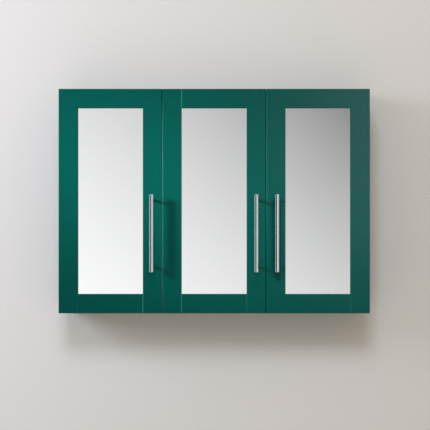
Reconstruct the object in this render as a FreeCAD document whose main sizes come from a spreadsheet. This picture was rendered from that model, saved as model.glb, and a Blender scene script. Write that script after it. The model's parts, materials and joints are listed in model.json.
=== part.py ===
import FreeCAD, Part
import Sketcher
import os
import re

# Wall-hung mirror cabinet: a board carcass with glass shelves behind three framed mirror doors.
# +X is the viewer's right, the doors face -Y and +Z is up. The origin is the centre of the back face,
# on the wall. Each door is drawn in a frame of its own, with x measured from its hinged edge, and is
# then hung at that edge. The right door is hung half a turn about Y from the other two.

SIZES = (
    # Carcass boards
    ("cabinet_width", 900),
    ("cabinet_height", 650),
    ("carcass_depth", 128),
    ("board_thick", 16),
    ("back_thick", 6),
    ("back_tongue", 5),
    ("groove_play", 0.1),
    ("wall_rail_thick", 16),
    ("wall_rail_height", 70),
    ("wall_hole_dia", 6.5),
    ("wall_hole_inset", 70),
    ("dowel_dia", 8),
    ("dowel_length", 30),
    ("dowel_in_face", 11),
    ("dowel_play", 0.05),
    ("dowel_end_play", 0.5),
    ("dowel_from_front", 24),
    ("dowel_from_wall", 42),
    # Glass shelves on pins
    ("shelf_thick", 6),
    ("shelf_spacing", 206),
    ("shelf_side_play", 1),
    ("shelf_setback", 10),
    ("shelf_back_play", 2),
    ("shelf_pin_dia", 5),
    ("shelf_pin_reach", 8),
    ("shelf_pin_play", 0.05),
    ("pin_hole_depth", 7),
    ("pin_hole_pitch", 32),
    ("pin_from_front", 37),
    ("pin_from_back", 25),
    # Door frames
    ("door_thick", 20),
    ("door_gap", 1.5),
    ("door_reveal", 1.5),
    ("door_back_gap", 2),
    ("stile_width", 55),
    ("door_rail_width", 55),
    ("edge_arris", 1.5),
    ("tenon_length", 14),
    ("tenon_thick", 6),
    ("tenon_shoulder", 14),
    ("tenon_play", 0.1),
    ("rebate_width", 10),
    ("mirror_thick", 4),
    ("backing_thick", 9),
    ("mirror_play", 1),
    ("clip_length", 24),
    ("clip_width", 12),
    ("clip_thick", 1.2),
    ("clip_grip", 10),
    ("clip_spacing", 100),
    ("clip_screw_dia", 3),
    ("clip_screw_length", 10),
    ("clip_head_dia", 6),
    ("clip_head_height", 0.6),
    ("screw_play", 0.05),
    ("bumper_dia", 8),
    ("bumper_inset", 30),
    ("bumper_play", 0.1),
    # Bar handles
    ("handle_bar_dia", 12),
    ("handle_length", 222),
    ("handle_chamfer", 0.8),
    ("handle_centres", 192),
    ("handle_standoff", 29),
    ("handle_inset", 28.5),
    ("handle_drop", 92),
    ("post_dia", 8),
    ("socket_play", 0.05),
    ("handle_screw_dia", 4),
    ("handle_screw_grip", 12),
    ("handle_head_dia", 8),
    ("handle_head_height", 2.4),
    # Concealed hinges: a cup in the door, a fixed arm on the carcass and a swan-necked link between them
    ("hinge_height", 225),
    ("cup_dia", 35),
    ("cup_depth", 12.5),
    ("cup_edge", 3),
    ("cup_play", 0.1),
    ("cup_wall", 0.9),
    ("cup_floor", 0.6),
    ("flange_dia", 38),
    ("flange_thick", 0.8),
    ("wing_length", 56),
    ("wing_width", 12),
    ("cup_screw_offset", 9.5),
    ("cup_screw_spacing", 45),
    ("cup_screw_dia", 3.5),
    ("cup_screw_length", 11),
    ("cup_head_dia", 6.5),
    ("cup_head_height", 1),
    ("cup_pin_dia", 3),
    ("cup_pin_in", 9),
    ("cup_pin_deep", 4.5),
    ("arm_pin_dia", 4),
    ("arm_pin_in", 28),
    ("arm_pin_back", 10),
    ("arm_pin_head_dia", 6),
    ("arm_pin_head", 1),
    ("hinge_pin_play", 0.05),
    ("link_width", 10),
    ("link_thick", 2.5),
    ("link_cup_eye", 5.2),
    ("link_arm_eye", 8),
    ("link_cup_bend", 4),
    ("link_arm_bend", 9.5),
    ("arm_length", 52),
    ("arm_cheek", 2.5),
    ("arm_cheek_play", 0.5),
    ("arm_ear_dia", 9),
    ("arm_roof_start", 6),
    ("plate_thick", 2.5),
    ("plate_wing_length", 46),
    ("plate_wing_width", 14),
    ("plate_screw_setback", 37),
    ("plate_screw_spacing", 32),
    ("plate_screw_dia", 4),
    ("plate_screw_grip", 12),
    ("plate_head_dia", 8),
    ("plate_head_height", 2),
)

# Places worked out from those sizes, as expression text
FRONT = "(-carcass_depth)"
BACK_FACE = "(-wall_rail_thick)"
BACK_FRONT = "(-wall_rail_thick - back_thick)"
INNER_X = "(cabinet_width / 2 - board_thick)"
INNER_Z = "(cabinet_height / 2 - board_thick)"
DOOR_WIDTH = "((cabinet_width - 2 * door_reveal - 2 * door_gap) / 3)"
DOOR_TOP = "(cabinet_height / 2 - door_reveal)"
DOOR_BACK = "(-carcass_depth - door_back_gap)"
DOOR_FRONT = "(-carcass_depth - door_back_gap - door_thick)"
MIRROR_FRONT = "(-carcass_depth - door_back_gap - mirror_thick - backing_thick)"
OPENING_TOP = "(cabinet_height / 2 - door_reveal - door_rail_width)"
LEFT_EDGE = "(-cabinet_width / 2 + door_reveal)"
MIDDLE_EDGE = f"({LEFT_EDGE} + {DOOR_WIDTH} + door_gap)"
RIGHT_EDGE = "(cabinet_width / 2 - door_reveal)"
PARTITION_X = f"({MIDDLE_EDGE} - door_gap / 2)"
CUP_X = "(cup_edge + cup_dia / 2)"
CUP_PIN_Y = "(-carcass_depth - door_back_gap - cup_pin_deep)"
ARM_PIN_Y = "(-carcass_depth + arm_pin_back)"

# Each door: its name, its hinged edge, the way it reaches from there, and the face its hinges sit on
DOORS = (
    ("left", LEFT_EDGE, 1, "(board_thick - door_reveal)"),
    ("middle", MIDDLE_EDGE, 1, "((board_thick - door_gap) / 2)"),
    ("right", RIGHT_EDGE, -1, "(board_thick - door_reveal)"),
)

TURN = {
    "x": FreeCAD.Rotation(FreeCAD.Vector(0, 1, 0), 90),
    "y": FreeCAD.Rotation(FreeCAD.Vector(1, 0, 0), -90),
    "z": FreeCAD.Rotation(),
}

doc = FreeCAD.newDocument("mirror_cabinet")
sheet = doc.addObject("Spreadsheet::Sheet", "Sizes")
for row, (alias, millimetres) in enumerate(SIZES, start=1):
    sheet.set(f"A{row}", alias.replace("_", " "))
    sheet.set(f"B{row}", str(millimetres))
    sheet.setAlias(f"B{row}", alias)
doc.recompute()

ALIASES = {alias for alias, millimetres in SIZES}
nodes = []


def cell(word):
    return "Sizes." + word.group() if word.group() in ALIASES else word.group()


def bind(item, prop, text):
    """Tie a property to an expression in which each size is named by its alias alone."""
    item.setExpression(prop, re.sub("[a-z_]+", cell, text))


def about(centre, size):
    """A span of the given size, centred."""
    return f"({centre}) - ({size}) / 2", f"({centre}) + ({size}) / 2"


def box(x, y, z):
    """A block given by its span on each axis."""
    item = doc.addObject("Part::Box", "Block")
    for prop, axis, (low, high) in zip(("Length", "Width", "Height"), "xyz", (x, y, z)):
        bind(item, prop, f"({high}) - ({low})")
        bind(item, "Placement.Base." + axis, low)
    return item


def rod(axis, diameter, **at):
    """A cylinder along one axis, given by its span there and its centre on the other two."""
    item = doc.addObject("Part::Cylinder", "Rod")
    low, high = at[axis]
    bind(item, "Radius", f"({diameter}) / 2")
    bind(item, "Height", f"({high}) - ({low})")
    item.Placement = FreeCAD.Placement(FreeCAD.Vector(), TURN[axis])
    for name in "xyz":
        bind(item, "Placement.Base." + name, low if name == axis else at[name])
    return item


def group(pieces, name="Group"):
    item = doc.addObject("Part::Compound", name)
    item.Links = pieces
    return item


def fuse(pieces):
    item = doc.addObject("Part::MultiFuse", "Joined")
    item.Shapes = pieces
    item.Refine = True
    return item


def cut(base, tools):
    item = doc.addObject("Part::Cut", "Shaped")
    item.Base = base
    item.Tool = group(tools)
    item.Refine = True
    return item


def common(first, second):
    item = doc.addObject("Part::Common", "Overlap")
    item.Base = first
    item.Tool = second
    return item


def node(label, item):
    """Keep an object as the sub-part of that name."""
    item.Label = label
    nodes.append(item)


def hung(door, pieces):
    """Move pieces drawn from a door's hinged edge to that edge."""
    name, edge, way, face = door
    item = group(pieces)
    turn = 0 if way > 0 else 180
    item.Placement = FreeCAD.Placement(FreeCAD.Vector(), FreeCAD.Rotation(FreeCAD.Vector(0, 1, 0), turn))
    bind(item, "Placement.Base.x", edge)
    return item


def origin_plane(body, role):
    return next(plane for plane in body.Origin.OriginFeatures if plane.Role == role)


def outline(body, role, corners):
    """A closed sketch on an origin plane, each corner held at its two distances from the origin."""
    sketch = body.newObject("Sketcher::SketchObject", "Outline")
    sketch.AttachmentSupport = [(origin_plane(body, role), "")]
    sketch.MapMode = "FlatFace"
    count = len(corners)
    start = [FreeCAD.Vector(1 + index, 1 + index * index, 0) for index in range(count)]
    for index in range(count):
        sketch.addGeometry(Part.LineSegment(start[index], start[(index + 1) % count]))
    for index in range(count):
        sketch.addConstraint(Sketcher.Constraint("Coincident", index, 2, (index + 1) % count, 1))
    for index, (across, up) in enumerate(corners):
        for kind, axis, text in (("DistanceX", -2, across), ("DistanceY", -1, up)):
            if text == "0":
                sketch.addConstraint(Sketcher.Constraint("PointOnObject", index, 1, axis))
            else:
                held = sketch.addConstraint(Sketcher.Constraint(kind, -1, 1, index, 1, 1.0 + index))
                bind(sketch, f"Constraints[{held}]", text)
    return sketch


def place(item, x, y, z):
    for axis, text in zip("xyz", (x, y, z)):
        bind(item, "Placement.Base." + axis, text)


def both_sides(text):
    return f"-({text})", text


def on_side(sign, low, high):
    """A span beside the middle, or its mirror image."""
    return (low, high) if sign > 0 else (f"-({high})", f"-({low})")


# Carcass boards

DOWEL_BORE = "dowel_dia + 2 * dowel_play"
DOWEL_IN_END = "(dowel_length - dowel_in_face)"
PLATE_SCREW_Y = "(-carcass_depth + plate_screw_setback)"
BOARD_MIDDLE = "(cabinet_height / 2 - board_thick / 2)"
WALL_HOLE_Z = f"({INNER_Z} - wall_rail_height / 2)"
GROOVE = (f"{BACK_FRONT} - groove_play", f"{BACK_FACE} + groove_play")
GROOVE_DEPTH = "back_tongue + groove_play"


def shelf_levels():
    """The undersides of the lower and upper shelf."""
    return both_sides("shelf_spacing / 2")


def pin_rows():
    """The two depths at which shelf pins stand."""
    return "-carcass_depth + pin_from_front", f"{BACK_FRONT} - pin_from_back"


def dowel_rows():
    return "-carcass_depth + dowel_from_front", "-dowel_from_wall"


def plate_screw_levels():
    hinges = both_sides("hinge_height")
    return [f"{level} {sign} plate_screw_spacing / 2" for level in hinges for sign in "+-"]


def shelf_pin_z(level, step=0):
    return f"{level} - shelf_pin_play - shelf_pin_dia / 2 + {step} * pin_hole_pitch"


def pin_holes(x):
    """Rows of shelf-pin holes in a face, three at each shelf height."""
    size = "shelf_pin_dia + 2 * shelf_pin_play"
    return [rod("x", size, x=x, y=y, z=shelf_pin_z(level, step))
            for y in pin_rows() for level in shelf_levels() for step in (-1, 0, 1)]


def plate_pilots(x):
    size = "plate_screw_dia + 2 * screw_play"
    return [rod("x", size, x=x, y=PLATE_SCREW_Y, z=z) for z in plate_screw_levels()]


def side_panel(sign):
    def inward(depth):
        return on_side(sign, INNER_X, f"{INNER_X} + {depth}")
    blank = box(inward("board_thick"), (FRONT, "0"), both_sides("cabinet_height / 2"))
    tools = [box(inward(GROOVE_DEPTH), GROOVE, both_sides(f"{INNER_Z} + {GROOVE_DEPTH}"))]
    bore = inward("dowel_in_face + dowel_end_play")
    tools += [rod("x", DOWEL_BORE, x=bore, y=y, z=z) for y in dowel_rows() for z in both_sides(BOARD_MIDDLE)]
    tools += pin_holes(inward("pin_hole_depth"))
    tools += plate_pilots(inward("plate_screw_grip + screw_play"))
    return cut(blank, tools)


def end_panel(sign):
    """The top or bottom board, between the sides."""
    def upward(depth):
        return on_side(sign, INNER_Z, f"{INNER_Z} + {depth}")
    blank = box(both_sides(INNER_X), (FRONT, "0"), upward("board_thick"))
    tools = [box(both_sides(INNER_X), GROOVE, upward(GROOVE_DEPTH))]
    middle = both_sides(BOARD_MIDDLE)[1 if sign > 0 else 0]
    for y in dowel_rows():
        for end in (-1, 1):
            bore = on_side(end, f"{INNER_X} - {DOWEL_IN_END} - dowel_end_play", INNER_X)
            tools.append(rod("x", DOWEL_BORE, x=bore, y=y, z=middle))
        tools.append(rod("z", DOWEL_BORE, x=PARTITION_X, y=y, z=upward("dowel_in_face + dowel_end_play")))
    return cut(blank, tools)


def partition():
    left, right = about(PARTITION_X, "board_thick")
    blank = box((left, right), (FRONT, BACK_FRONT), both_sides(INNER_Z))
    tools = pin_holes((left, f"{left} + pin_hole_depth"))
    tools += pin_holes((f"{right} - pin_hole_depth", right))
    tools += plate_pilots((f"{right} - plate_screw_grip - screw_play", right))
    for y in dowel_rows():
        for end in (-1, 1):
            bore = on_side(end, f"{INNER_Z} - {DOWEL_IN_END} - dowel_end_play", INNER_Z)
            tools.append(rod("z", DOWEL_BORE, x=PARTITION_X, y=y, z=bore))
    return cut(blank, tools)


def wall_holes(y, levels):
    return [rod("y", "wall_hole_dia", x=x, y=y, z=z)
            for x in both_sides("cabinet_width / 2 - wall_hole_inset") for z in levels]


def back_panel():
    width, height = f"{INNER_X} + back_tongue", f"{INNER_Z} + back_tongue"
    blank = box(both_sides(width), (BACK_FRONT, BACK_FACE), both_sides(height))
    return cut(blank, wall_holes((BACK_FRONT, BACK_FACE), both_sides(WALL_HOLE_Z)))


def hanging_rail(sign):
    height = on_side(sign, f"{INNER_Z} - wall_rail_height", INNER_Z)
    level = both_sides(WALL_HOLE_Z)[1 if sign > 0 else 0]
    return cut(box(both_sides(INNER_X), (BACK_FACE, "0"), height), wall_holes((BACK_FACE, "0"), [level]))


def carcass_dowels():
    pieces = []
    for y in dowel_rows():
        for end in (-1, 1):
            across = on_side(end, f"{INNER_X} - {DOWEL_IN_END}", f"{INNER_X} + dowel_in_face")
            pieces += [rod("x", "dowel_dia", x=across, y=y, z=z) for z in both_sides(BOARD_MIDDLE)]
            upright = on_side(end, f"{INNER_Z} - {DOWEL_IN_END}", f"{INNER_Z} + dowel_in_face")
            pieces.append(rod("z", "dowel_dia", x=PARTITION_X, y=y, z=upright))
    return group(pieces)


# The clear width of each compartment
COMPARTMENTS = (
    ("left", f"-{INNER_X}", f"{PARTITION_X} - board_thick / 2"),
    ("right", f"{PARTITION_X} + board_thick / 2", INNER_X),
)


def shelf(left, right, level):
    return box((f"{left} + shelf_side_play", f"{right} - shelf_side_play"),
               ("-carcass_depth + shelf_setback", f"{BACK_FRONT} - shelf_back_play"),
               (level, f"{level} + shelf_thick"))


def shelf_pins():
    pieces = []
    inside = "pin_hole_depth - 2 * shelf_pin_play"
    for name, left, right in COMPARTMENTS:
        for span in ((f"{left} - ({inside})", f"{left} + shelf_pin_reach"),
                     (f"{right} - shelf_pin_reach", f"{right} + {inside}")):
            pieces += [rod("x", "shelf_pin_dia", x=span, y=y, z=shelf_pin_z(level))
                       for y in pin_rows() for level in shelf_levels()]
    return group(pieces)


# Door frames

def door_blank():
    """The whole door as one slab with an arris round its front face."""
    body = doc.addObject("PartDesign::Body", "DoorBlank")
    height = "(cabinet_height - 2 * door_reveal)"
    sketch = outline(body, "XZ_Plane", (("0", "0"), (DOOR_WIDTH, "0"), (DOOR_WIDTH, height), ("0", height)))
    pad = body.newObject("PartDesign::Pad", "Slab")
    pad.Profile = sketch
    bind(pad, "Length", "door_thick")
    doc.recompute()
    front = min(range(len(pad.Shape.Faces)), key=lambda index: pad.Shape.Faces[index].CenterOfMass.y)
    arris = body.newObject("PartDesign::Chamfer", "Arris")
    arris.Base = (pad, [f"Face{front + 1}"])
    bind(arris, "Size", "edge_arris")
    body.Tip = arris
    place(body, "0", DOOR_BACK, f"-{DOOR_TOP}")
    return body


HANDLE_X = f"({DOOR_WIDTH} - handle_inset)"
REBATE = (MIRROR_FRONT, DOOR_BACK)


def handle_levels(way):
    """Heights of the two posts, in the door's own frame."""
    return [f"{-way} * handle_drop {sign} handle_centres / 2" for sign in "+-"]


def clip_places():
    """Each clip's piece of the frame, the rebate edge's x and z there, and the way out from the mirror."""
    left, right = "(stile_width - rebate_width)", f"({DOOR_WIDTH} - stile_width + rebate_width)"
    top = f"({OPENING_TOP} + rebate_width)"
    middle = f"({DOOR_WIDTH} / 2)"
    places = []
    for step in (-1.5, -0.5, 0.5, 1.5):
        places.append(("hinge_stile", left, f"({step} * clip_spacing)", -1, 0))
        places.append(("handle_stile", right, f"({step} * clip_spacing)", 1, 0))
    places.append(("rail_top", middle, top, 0, 1))
    places.append(("rail_bottom", middle, f"-{top}", 0, -1))
    return places


CLIPS = clip_places()
CLIP_ANCHOR = "(clip_length - clip_grip) / 2"


def clip_screw_at(clip):
    """Centre of a clip's screw, out on the frame."""
    part, x, z, out_x, out_z = clip
    return f"{x} + {out_x} * {CLIP_ANCHOR}", f"{z} + {out_z} * {CLIP_ANCHOR}"


def clip_pilots(part):
    pilots = []
    for clip in CLIPS:
        if clip[0] == part:
            x, z = clip_screw_at(clip)
            pilots.append(rod("y", "clip_screw_dia + 2 * screw_play", x=x, z=z,
                              y=(f"{DOOR_BACK} - clip_screw_length - screw_play", DOOR_BACK)))
    return pilots


def clip_plate(clip):
    part, x, z, out_x, out_z = clip
    hold = "clip_grip"
    reach = "(clip_length - clip_grip)"
    spans = []
    for edge, out in ((x, out_x), (z, out_z)):
        if out > 0:
            spans.append((f"{edge} - {hold}", f"{edge} + {reach}"))
        elif out < 0:
            spans.append((f"{edge} - {reach}", f"{edge} + {hold}"))
        else:
            spans.append(about(edge, "clip_width"))
    thick = (DOOR_BACK, f"{DOOR_BACK} + clip_thick")
    screw_x, screw_z = clip_screw_at(clip)
    hole = rod("y", "clip_screw_dia + 2 * screw_play", x=screw_x, z=screw_z, y=thick)
    return cut(box(spans[0], thick, spans[1]), [hole])


def tenon_box(x, sign, play):
    z = on_side(sign, f"{OPENING_TOP} + tenon_shoulder - {play}", f"{DOOR_TOP} - tenon_shoulder + {play}")
    return box(x, about(f"{DOOR_BACK} - door_thick / 2", f"tenon_thick + 2 * {play}"), z)


def mortises(x):
    return [tenon_box(x, sign, "tenon_play") for sign in (1, -1)]


def stile_zone(x):
    return box(x, (DOOR_FRONT, DOOR_BACK), both_sides(DOOR_TOP))


def stile_rebate(x):
    return box(x, REBATE, both_sides(f"{OPENING_TOP} + rebate_width"))


def cup_screw_places():
    x = f"{CUP_X} + cup_screw_offset"
    hinges = both_sides("hinge_height")
    return [(x, f"{level} {sign} cup_screw_spacing / 2") for level in hinges for sign in "+-"]


def hinge_stile(blank):
    tools = [stile_rebate(("stile_width - rebate_width", "stile_width"))]
    tools += mortises(("stile_width - tenon_length - tenon_play", "stile_width"))
    tools += [rod("y", "cup_dia", x=CUP_X, y=(f"{DOOR_BACK} - cup_depth", DOOR_BACK), z=z)
              for z in both_sides("hinge_height")]
    pilot = (f"{DOOR_BACK} - cup_screw_length - screw_play", DOOR_BACK)
    tools += [rod("y", "cup_screw_dia + 2 * screw_play", x=x, z=z, y=pilot) for x, z in cup_screw_places()]
    tools += clip_pilots("hinge_stile")
    return cut(common(blank, stile_zone(("0", "stile_width"))), tools)


def handle_stile(blank, way):
    inner = f"({DOOR_WIDTH} - stile_width)"
    tools = [stile_rebate((inner, f"{inner} + rebate_width"))]
    tools += mortises((inner, f"{inner} + tenon_length + tenon_play"))
    tools += [rod("y", "handle_screw_dia + 2 * screw_play", x=HANDLE_X, y=(DOOR_FRONT, DOOR_BACK), z=z)
              for z in handle_levels(way)]
    tools += clip_pilots("handle_stile")
    return cut(common(blank, stile_zone((inner, DOOR_WIDTH))), tools)


def door_rail(blank, sign):
    left, right = "stile_width", f"({DOOR_WIDTH} - stile_width)"
    height = on_side(sign, OPENING_TOP, DOOR_TOP)
    bar = common(blank, box((left, right), (DOOR_FRONT, DOOR_BACK), height))
    rebate = on_side(sign, OPENING_TOP, f"{OPENING_TOP} + rebate_width")
    tools = [box((left, right), REBATE, rebate)]
    tools += clip_pilots("rail_top" if sign > 0 else "rail_bottom")
    tenons = [tenon_box((f"{left} - tenon_length", left), sign, "0"),
              tenon_box((right, f"{right} + tenon_length"), sign, "0")]
    return fuse([cut(bar, tools)] + tenons)


def mirror_pane(y):
    inset = "(stile_width - rebate_width + mirror_play)"
    height = both_sides(f"{OPENING_TOP} + rebate_width - mirror_play")
    return box((inset, f"{DOOR_WIDTH} - {inset}"), y, height)


def handle_bar(way):
    body = doc.addObject("PartDesign::Body", "HandleBar")
    radius = "handle_bar_dia / 2"
    sketch = outline(body, "XZ_Plane", (
        ("0", "0"), (f"{radius} - handle_chamfer", "0"), (radius, "handle_chamfer"),
        (radius, "handle_length - handle_chamfer"), (f"{radius} - handle_chamfer", "handle_length"),
        ("0", "handle_length")))
    turned = body.newObject("PartDesign::Revolution", "Turned")
    turned.Profile = sketch
    turned.ReferenceAxis = (sketch, ["V_Axis"])
    turned.Angle = 360
    body.Tip = turned
    axis_y = f"{DOOR_FRONT} - handle_standoff"
    place(body, HANDLE_X, axis_y, f"{-way} * handle_drop - handle_length / 2")
    socket = (axis_y, f"{axis_y} + handle_bar_dia")
    levels = handle_levels(way)
    return cut(body, [rod("y", "post_dia + 2 * socket_play", x=HANDLE_X, z=z, y=socket) for z in levels])


def handle_post(z):
    shaft = rod("y", "post_dia", x=HANDLE_X, z=z, y=(f"{DOOR_FRONT} - handle_standoff", DOOR_FRONT))
    thread = rod("y", "handle_screw_dia + 2 * screw_play", x=HANDLE_X, z=z,
                 y=(f"{DOOR_FRONT} - handle_screw_grip - screw_play", DOOR_FRONT))
    return cut(shaft, [thread])


def headed_screw(x, z, seat, diameter, length, head_dia, head_height):
    """A screw driven into a door from behind, its head standing on the seat."""
    shank = rod("y", diameter, x=x, z=z, y=(f"{seat} - ({length})", seat))
    head = rod("y", head_dia, x=x, z=z, y=(seat, f"{seat} + {head_height}"))
    return fuse([shank, head])


def door_screws(way):
    screws = [headed_screw(HANDLE_X, z, DOOR_BACK, "handle_screw_dia", "door_thick + handle_screw_grip",
                           "handle_head_dia", "handle_head_height") for z in handle_levels(way)]
    flange = f"{DOOR_BACK} + flange_thick"
    screws += [headed_screw(x, z, flange, "cup_screw_dia", "cup_screw_length + flange_thick",
                            "cup_head_dia", "cup_head_height") for x, z in cup_screw_places()]
    plate = f"{DOOR_BACK} + clip_thick"
    for clip in CLIPS:
        x, z = clip_screw_at(clip)
        screws.append(headed_screw(x, z, plate, "clip_screw_dia", "clip_screw_length + clip_thick",
                                   "clip_head_dia", "clip_head_height"))
    return screws


def bumpers():
    return [rod("y", "bumper_dia", x=f"{DOOR_WIDTH} - bumper_inset", z=z,
                y=(DOOR_BACK, f"{DOOR_BACK} + door_back_gap - bumper_play"))
            for z in both_sides("cabinet_height / 2 - board_thick / 2")]


# Concealed hinges, drawn from the door's hinged edge

CUP_OUTER = "(cup_dia - 2 * cup_play)"
CUP_BOTTOM = f"({DOOR_BACK} - cup_depth + cup_play)"


def hinge_cup(level):
    shell = rod("y", CUP_OUTER, x=CUP_X, z=level, y=(CUP_BOTTOM, DOOR_BACK))
    lip = (DOOR_BACK, f"{DOOR_BACK} + flange_thick")
    flange = rod("y", "flange_dia", x=CUP_X, z=level, y=lip)
    wings = box(about(f"{CUP_X} + cup_screw_offset", "wing_width"), lip, about(level, "wing_length"))
    inside = (f"{CUP_BOTTOM} + cup_floor", lip[1])
    hollow = rod("y", f"{CUP_OUTER} - 2 * cup_wall", x=CUP_X, z=level, y=inside)
    pin_bore = "cup_pin_dia + 2 * hinge_pin_play"
    pin_hole = rod("z", pin_bore, x="cup_pin_in", y=CUP_PIN_Y, z=about(level, "cup_dia"))
    screw_bore = "cup_screw_dia + 2 * screw_play"
    screw_holes = [rod("y", screw_bore, x=x, z=z, y=lip) for x, z in cup_screw_places()]
    return cut(fuse([shell, flange, wings]), [fuse([hollow, pin_hole])] + screw_holes)


def cup_pin(level):
    """The pin through the cup, its ends flush with the cup's round wall."""
    shaft = rod("z", "cup_pin_dia", x="cup_pin_in", y=CUP_PIN_Y, z=about(level, "cup_dia"))
    return common(shaft, rod("y", CUP_OUTER, x=CUP_X, z=level, y=(CUP_BOTTOM, DOOR_BACK)))


def bend(radius, x, y, z, turn):
    """A quarter of a strip bent round (x, y), turned about Z."""
    outer = rod("z", f"2 * {radius} + link_thick", x=x, y=y, z=z)
    outer.Angle = 90
    outer.Placement = FreeCAD.Placement(FreeCAD.Vector(), FreeCAD.Rotation(FreeCAD.Vector(0, 0, 1), turn))
    inner = rod("z", f"2 * {radius} - link_thick", x=x, y=y, z=z)
    return cut(outer, [inner])


def hinge_link(level):
    """The swan neck: a leg from the arm pin, a wide bend, a bridge, and a tight bend down to the cup pin."""
    z = about(level, "link_width")
    bridge = f"({CUP_PIN_Y} - link_cup_bend)"
    wide_x, wide_y = "(arm_pin_in - link_arm_bend)", f"({bridge} + link_arm_bend)"
    tight_x = "(cup_pin_in + link_cup_bend)"
    strips = [
        box(about("arm_pin_in", "link_thick"), (wide_y, ARM_PIN_Y), z),
        bend("link_arm_bend", wide_x, wide_y, z, -90),
        box((tight_x, wide_x), about(bridge, "link_thick"), z),
        bend("link_cup_bend", tight_x, CUP_PIN_Y, z, -180),
        rod("z", "link_arm_eye", x="arm_pin_in", y=ARM_PIN_Y, z=z),
        rod("z", "link_cup_eye", x="cup_pin_in", y=CUP_PIN_Y, z=z),
    ]
    holes = [rod("z", "arm_pin_dia + 2 * hinge_pin_play", x="arm_pin_in", y=ARM_PIN_Y, z=z),
             rod("z", "cup_pin_dia + 2 * hinge_pin_play", x="cup_pin_in", y=CUP_PIN_Y, z=z)]
    return cut(fuse(strips), holes)


ARM_HALF = "(link_width / 2 + arm_cheek_play + arm_cheek)"


def hinge_arm(level, face):
    """The fixed arm: a winged plate on the carcass with two cheeks, a roof over them and ears for the pin."""
    ear_front = f"{ARM_PIN_Y} - arm_ear_dia / 2"
    rear = f"{ARM_PIN_Y} + arm_length"
    width = f"2 * {ARM_HALF}"
    plate = (face, f"{face} + plate_thick")
    pieces = [
        box(plate, (ear_front, rear), about(level, width)),
        box(plate, about(PLATE_SCREW_Y, "plate_wing_width"), about(level, "plate_wing_length")),
    ]
    for low, high in ((f"{level} - {ARM_HALF}", f"{level} - {ARM_HALF} + arm_cheek"),
                      (f"{level} + {ARM_HALF} - arm_cheek", f"{level} + {ARM_HALF}")):
        pieces.append(box((face, "arm_pin_in"), (ear_front, rear), (low, high)))
        pieces.append(rod("z", "arm_ear_dia", x="arm_pin_in", y=ARM_PIN_Y, z=(low, high)))
    roof = (f"{ARM_PIN_Y} + arm_roof_start", rear)
    pieces.append(box(("arm_pin_in - arm_cheek", "arm_pin_in"), roof, about(level, width)))
    pin_bore = "arm_pin_dia + 2 * hinge_pin_play"
    screw_bore = "plate_screw_dia + 2 * screw_play"
    holes = [rod("z", pin_bore, x="arm_pin_in", y=ARM_PIN_Y, z=about(level, width))]
    holes += [rod("x", screw_bore, x=plate, y=PLATE_SCREW_Y, z=f"{level} {sign} plate_screw_spacing / 2")
              for sign in "+-"]
    return cut(fuse(pieces), holes)


def arm_pin(level):
    low, high = about(level, f"2 * {ARM_HALF}")
    shaft = rod("z", "arm_pin_dia", x="arm_pin_in", y=ARM_PIN_Y, z=(low, high))
    heads = [rod("z", "arm_pin_head_dia", x="arm_pin_in", y=ARM_PIN_Y, z=span)
             for span in ((f"{low} - arm_pin_head", low), (high, f"{high} + arm_pin_head"))]
    return fuse([shaft] + heads)


def plate_screw(z, face):
    top = f"{face} + plate_thick"
    shank = rod("x", "plate_screw_dia", x=(f"{face} - plate_screw_grip", top), y=PLATE_SCREW_Y, z=z)
    head = rod("x", "plate_head_dia", x=(top, f"{top} + plate_head_height"), y=PLATE_SCREW_Y, z=z)
    return fuse([shank, head])


# The cabinet
node("side_panel_left", side_panel(-1))
node("side_panel_right", side_panel(1))
node("top_panel", end_panel(1))
node("bottom_panel", end_panel(-1))
node("partition", partition())
node("back_panel", back_panel())
node("hanging_rail_top", hanging_rail(1))
node("hanging_rail_bottom", hanging_rail(-1))
node("carcass_dowels", carcass_dowels())
node("shelf_pins", shelf_pins())
for side, left, right in COMPARTMENTS:
    for height, level in zip(("lower", "upper"), shelf_levels()):
        node(f"shelf_{side}_{height}", shelf(left, right, level))

levels = both_sides("hinge_height")
arms = []
fixings = []
for door in DOORS:
    name, edge, way, face = door
    arms.append(hung(door, [hinge_arm(level, face) for level in levels]))
    pins = [arm_pin(level) for level in levels]
    screws = [plate_screw(z, face) for z in plate_screw_levels()]
    fixings.append(hung(door, pins + screws))
    blank = door_blank()
    for label, pieces in (
        ("hinge_links", [hinge_link(level) for level in levels]),
        ("hinge_cups", [hinge_cup(level) for level in levels]),
        ("cup_pins", [cup_pin(level) for level in levels]),
        ("hinge_stile", [hinge_stile(blank)]),
        ("handle_stile", [handle_stile(blank, way)]),
        ("rail_top", [door_rail(blank, 1)]),
        ("rail_bottom", [door_rail(blank, -1)]),
        ("mirror", [mirror_pane((MIRROR_FRONT, f"{MIRROR_FRONT} + mirror_thick"))]),
        ("backing_board", [mirror_pane((f"{DOOR_BACK} - backing_thick", DOOR_BACK))]),
        ("mirror_clips", [clip_plate(clip) for clip in CLIPS]),
        ("handle_bar", [handle_bar(way)]),
        ("handle_posts", [handle_post(z) for z in handle_levels(way)]),
        ("door_screws", door_screws(way)),
        ("bumpers", bumpers()),
    ):
        node(f"{label}_{name}", hung(door, pieces))
node("hinge_arms", group(arms))
node("hinge_fixings", group(fixings))

doc.recompute()

failed = [item.Label for item in doc.Objects if "Invalid" in item.State or "Error" in item.State]
failed += [item.Label for item in nodes if item.Shape.isNull() or not item.Shape.isValid()]
if failed:
    raise RuntimeError("not built: " + ", ".join(failed))

os.makedirs("parts", exist_ok=True)
for item in nodes:
    item.Shape.exportStep(f"parts/{item.Label}.step")
    print(item.Label, len(item.Shape.Solids), round(item.Shape.Volume / 1000, 2))
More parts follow.
